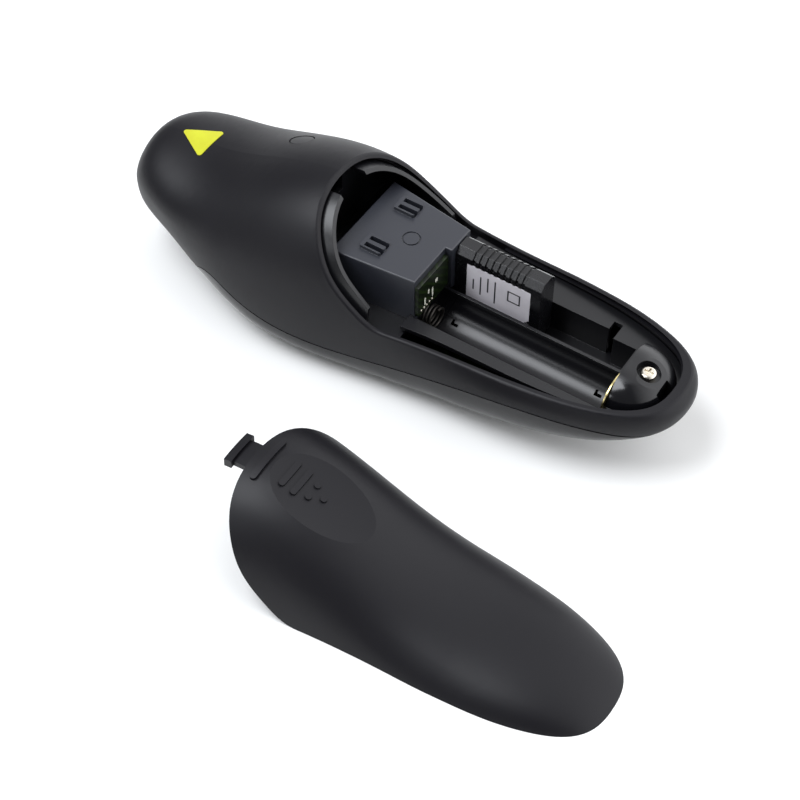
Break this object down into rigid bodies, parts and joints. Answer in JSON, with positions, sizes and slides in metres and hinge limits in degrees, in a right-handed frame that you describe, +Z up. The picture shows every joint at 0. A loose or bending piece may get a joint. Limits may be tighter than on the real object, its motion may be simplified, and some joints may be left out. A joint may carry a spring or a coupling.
{
  "type": "wireless presenter",
  "caption": "Hand-held wireless presenter lying on its keys, battery cover off beside it, cell trough open and USB receiver stored on edge.",
  "frame": {"origin": "on the surface that the keys face, under the flat of the grip", "axes": "+X from the laser nose to the tail, +Z up from the resting surface, +Y to the side away from the loose cover"},
  "size_m": [0.1635, 0.1083, 0.041],
  "materials": {
    "soft_touch_black": "matt soft-touch lacquer",
    "gloss_black": "glossy moulded ABS",
    "satin_slate": "fine satin moulded ABS",
    "key_rubber": "matt silicone rubber",
    "receiver_black": "satin moulded ABS",
    "label_grey": "matt label stock",
    "sticker_yellow": "satin sticker",
    "circuit_green": "solder mask over glass fibre",
    "chip_black": "moulded epoxy",
    "nickel_steel": "nickel plated",
    "gold_contact": "plated spring brass",
    "laser_brass": "turned brass",
    "clear_lens": "clear moulded acrylic"
  },
  "bodies": {
    "grip": {"back_shell": "soft_touch_black", "front_shell": "gloss_black", "compartment_tray": "gloss_black", "module_housing": "satin_slate", "key_panel": "gloss_black", "main_board": "circuit_green", "rear_board": "circuit_green", "radio_chip": "chip_black", "crystal_can": "nickel_steel", "key_switches": "chip_black", "connect_switch": "chip_black", "power_switch": "chip_black", "board_screws": "nickel_steel", "tail_screw": "nickel_steel", "battery_spring": "nickel_steel", "contact_plate": "gold_contact", "laser_barrel": "laser_brass", "laser_window": "clear_lens", "status_light": "clear_lens", "nose_sticker": "sticker_yellow"},
    "cover": {"battery_cover": "soft_touch_black"},
    "receiver": {"receiver_shell": "receiver_black", "receiver_label": "label_grey", "receiver_plug": "nickel_steel", "plug_insulator": "chip_black", "receiver_board": "circuit_green"},
    "laser_key": {"laser_key": "key_rubber"},
    "page_back_key": {"page_back_key": "key_rubber"},
    "page_forward_key": {"page_forward_key": "key_rubber"},
    "blank_key": {"blank_key": "key_rubber"},
    "connect_button": {"connect_button": "soft_touch_black"},
    "power_slider": {"power_slider": "gloss_black"}
  },
  "joints": [
    {"name": "cover_lift", "type": "slide", "parent": "grip", "child": "cover", "axis": [0, 0, 1], "range_m": [0, 0.03]},
    {"name": "receiver_slide", "type": "slide", "parent": "grip", "child": "receiver", "axis": [1, 0, 0], "range_m": [0, 0.014]},
    {"name": "laser_press", "type": "slide", "parent": "grip", "child": "laser_key", "axis": [0, 0, 1], "range_m": [0, 0.0004], "stiffness_N_per_m": 200},
    {"name": "page_back_press", "type": "slide", "parent": "grip", "child": "page_back_key", "axis": [0, 0, 1], "range_m": [0, 0.0004], "stiffness_N_per_m": 200},
    {"name": "page_forward_press", "type": "slide", "parent": "grip", "child": "page_forward_key", "axis": [0, 0, 1], "range_m": [0, 0.0004], "stiffness_N_per_m": 200},
    {"name": "blank_press", "type": "slide", "parent": "grip", "child": "blank_key", "axis": [0, 0, 1], "range_m": [0, 0.0004], "stiffness_N_per_m": 200},
    {"name": "connect_press", "type": "slide", "parent": "grip", "child": "connect_button", "axis": [0.3002, -0.3902, -0.8704], "range_m": [0, 0.0004], "stiffness_N_per_m": 200},
    {"name": "power_slide", "type": "slide", "parent": "grip", "child": "power_slider", "axis": [1, 0, 0], "range_m": [0, 0.003]}
  ]
}
